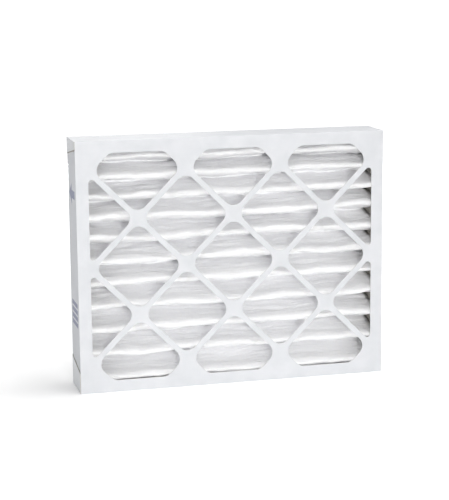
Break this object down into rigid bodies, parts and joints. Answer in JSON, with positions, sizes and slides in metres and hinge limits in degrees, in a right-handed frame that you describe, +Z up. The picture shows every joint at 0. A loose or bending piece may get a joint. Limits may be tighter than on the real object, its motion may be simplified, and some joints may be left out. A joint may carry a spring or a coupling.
{
  "type": "pleated panel air filter",
  "caption": "Flat panel air filter: nonwoven medium folded into deep horizontal pleats on a wire grid, held between two nested board trays with die-cut diagonal lattice faces.",
  "frame": {"origin": "on the ground under the middle of the panel's lower long edge", "axes": "+X along the long edge, +Y from the air-entering face to the air-leaving face, +Z up"},
  "size_m": [0.6224, 0.0952, 0.4953],
  "materials": {
    "board": "clay-coated white wet-strength paperboard",
    "medium": "lofted white nonwoven of fine fibres",
    "wire": "galvanised welded wire",
    "adhesive": "set off-white adhesive"
  },
  "bodies": {
    "root": {"front_tray": "board", "rear_tray": "board", "pleated_media": "medium", "support_grid": "wire", "left_seal": "adhesive", "right_seal": "adhesive", "top_seal": "adhesive", "bottom_seal": "adhesive"}
  },
  "joints": []
}
